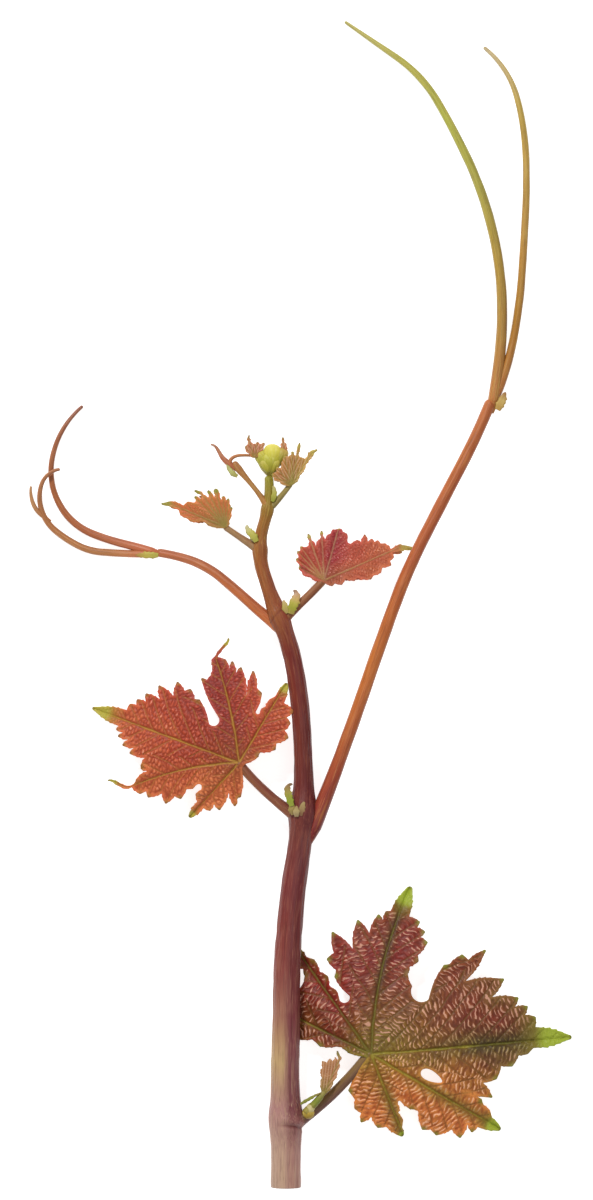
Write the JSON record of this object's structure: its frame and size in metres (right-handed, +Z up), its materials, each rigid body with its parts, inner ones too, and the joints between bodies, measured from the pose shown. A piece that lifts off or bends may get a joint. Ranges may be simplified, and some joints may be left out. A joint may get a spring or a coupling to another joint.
{
  "type": "cut grapevine shoot",
  "caption": "Cut tip of a young grapevine shoot lying on a surface, with reddish lobed leaves on stalks, long forked tendrils and a green bud at its end.",
  "frame": {"origin": "bottom centre of the box round the shoot as it lies", "axes": "+Y along the shoot from its cut towards its tip, +Z up from the surface it lies on, +X to the right of the shoot seen from above"},
  "size_m": [0.1196, 0.2574, 0.0117],
  "materials": {
    "stem_bark": "satin green-red bark with fine lengthwise ribs",
    "leaf_stalk": "satin",
    "young_stalk": "satin",
    "tendril_skin": "satin",
    "blade_dark": "glossy, blistered between sunken veins",
    "blade_red": "satin, blistered between sunken veins",
    "blade_crimson": "satin, blistered",
    "blade_orange": "satin, pleated",
    "bud_green": "satin",
    "scale_green": "matte"
  },
  "bodies": {
    "root": {"stem": "stem_bark", "petiole_1": "leaf_stalk", "leaf_1": "blade_dark", "petiole_2": "leaf_stalk", "leaf_2": "blade_red", "petiole_3": "leaf_stalk", "leaf_3": "blade_crimson", "petiole_4": "leaf_stalk", "leaf_4": "blade_orange", "petiole_5": "leaf_stalk", "leaf_5": "blade_orange", "tendril_right_stalk_low": "tendril_skin", "tendril_right_stalk_high": "tendril_skin", "tendril_right_long_arm_low": "tendril_skin", "tendril_right_long_arm_mid": "tendril_skin", "tendril_right_long_arm_high": "tendril_skin", "tendril_right_short_arm_low": "tendril_skin", "tendril_right_short_arm_high": "tendril_skin", "tendril_left_stalk_low": "tendril_skin", "tendril_left_stalk_high": "tendril_skin", "tendril_left_long_arm_low": "tendril_skin", "tendril_left_long_arm_high": "tendril_skin", "tendril_left_lower_arm_low": "tendril_skin", "tendril_left_lower_arm_high": "tendril_skin", "tendril_left_twig": "tendril_skin", "tendril_tip_stalk": "young_stalk", "tendril_tip_outer_arm": "young_stalk", "tendril_tip_inner_arm": "young_stalk", "bract_right_fork": "scale_green", "bract_left_fork": "scale_green", "bract_tip_fork": "scale_green", "lateral_scale": "scale_green", "lateral_stalk": "young_stalk", "lateral_leaf": "blade_orange", "lateral_bract": "scale_green", "bud_2": "scale_green", "stipule_2": "scale_green", "stipule_3": "scale_green", "stipule_4": "scale_green", "stipule_5": "scale_green", "tip_bud": "bud_green", "tip_leaf_left": "blade_orange", "tip_leaf_right": "blade_orange"}
  },
  "joints": []
}
